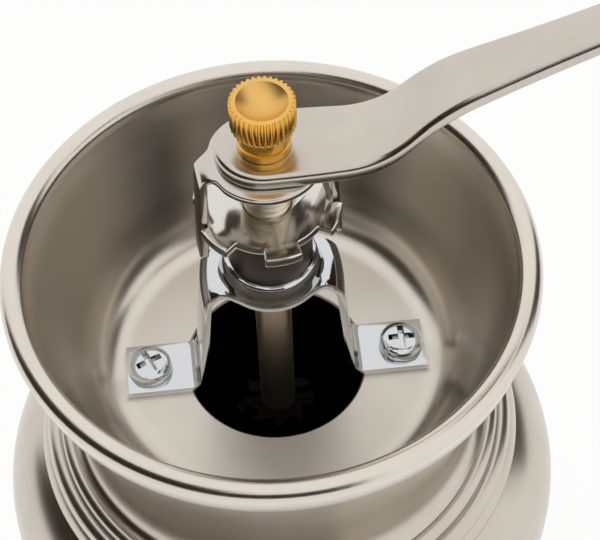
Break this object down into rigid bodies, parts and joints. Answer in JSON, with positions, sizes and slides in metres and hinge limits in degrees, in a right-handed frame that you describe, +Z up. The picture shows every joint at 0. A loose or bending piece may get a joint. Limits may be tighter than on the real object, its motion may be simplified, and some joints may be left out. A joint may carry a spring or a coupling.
{
  "type": "manual coffee grinder",
  "caption": "Hand coffee grinder: round steel cup, open hopper bowl with a bridge, adjusting wheel with a lock plate, and a crank with a turned knob.",
  "frame": {"origin": "centre of the cup's flat underside, on the axis of the shaft", "axes": "+Z up along the shaft, +X along the bridge and towards the crank's knob at rest, +Y towards the back"},
  "size_m": [0.126, 0.1068, 0.2091],
  "materials": {
    "satin_steel": "satin pressed stainless steel",
    "bright_plate": "bright nickel plate on pressed steel",
    "turned_steel": "turned steel",
    "burr_steel": "hardened burr steel",
    "cast_metal": "cast light metal",
    "bronze": "sintered bronze",
    "black_plastic": "moulded black plastic",
    "black_rubber": "soft black rubber",
    "brass": "polished brass",
    "dark_wood": "dark varnished wood"
  },
  "bodies": {
    "cup": {"grounds_cup": "satin_steel"},
    "upper": {"upper_shell": "satin_steel", "cup_collar": "black_plastic", "cup_seal": "black_rubber", "hopper_bowl": "satin_steel", "bridge_bracket": "bright_plate", "bridge_bush": "bronze", "bridge_screw_left": "bright_plate", "bridge_screw_right": "bright_plate", "bridge_nut_left": "bright_plate", "bridge_nut_right": "bright_plate", "burr_housing": "cast_metal", "ring_burr": "burr_steel", "burr_retaining_ring": "turned_steel", "bearing_bar": "bright_plate", "bearing_bush": "bronze", "bar_screw_front": "bright_plate", "bar_screw_back": "bright_plate"},
    "wheel": {"adjusting_wheel": "bright_plate"},
    "shaft": {"drive_shaft": "turned_steel", "inner_burr": "burr_steel", "burr_drive_pin": "turned_steel", "burr_washer": "bright_plate", "burr_nut": "bright_plate"},
    "crank": {"crank_arm": "satin_steel", "lock_plate": "bright_plate", "knob_pin": "turned_steel", "knob_washer": "bright_plate"},
    "nut": {"cap_nut": "brass"},
    "knob": {"crank_knob": "dark_wood", "knob_ferrule": "turned_steel"}
  },
  "joints": [
    {"name": "top_lift", "type": "slide", "parent": "cup", "child": "upper", "axis": [0, 0, 1], "range_m": [0, 0.03]},
    {"name": "crank_spin", "type": "hinge", "parent": "upper", "child": "wheel", "pos_m": [0, 0, 0.138], "axis": [0, 0, 1], "continuous": true},
    {"name": "grind_gap", "type": "slide", "parent": "wheel", "child": "shaft", "axis": [0, 0, 1], "range_m": [-0.0015, 0.0005]},
    {"name": "crank_lift", "type": "slide", "parent": "shaft", "child": "crank", "axis": [0, 0, 1], "range_m": [0, 0.012]},
    {"name": "nut_turn", "type": "hinge", "parent": "crank", "child": "nut", "pos_m": [0, 0, 0.158], "axis": [0, 0, 1], "range_deg": [0, 4320]},
    {"name": "knob_spin", "type": "hinge", "parent": "crank", "child": "knob", "pos_m": [0.059, 0, 0.19], "axis": [0, 0, 1], "continuous": true}
  ],
  "couplings": [
    {"joint": "nut_turn", "follows": "crank_lift", "rad_per_m": 6283.2}
  ]
}
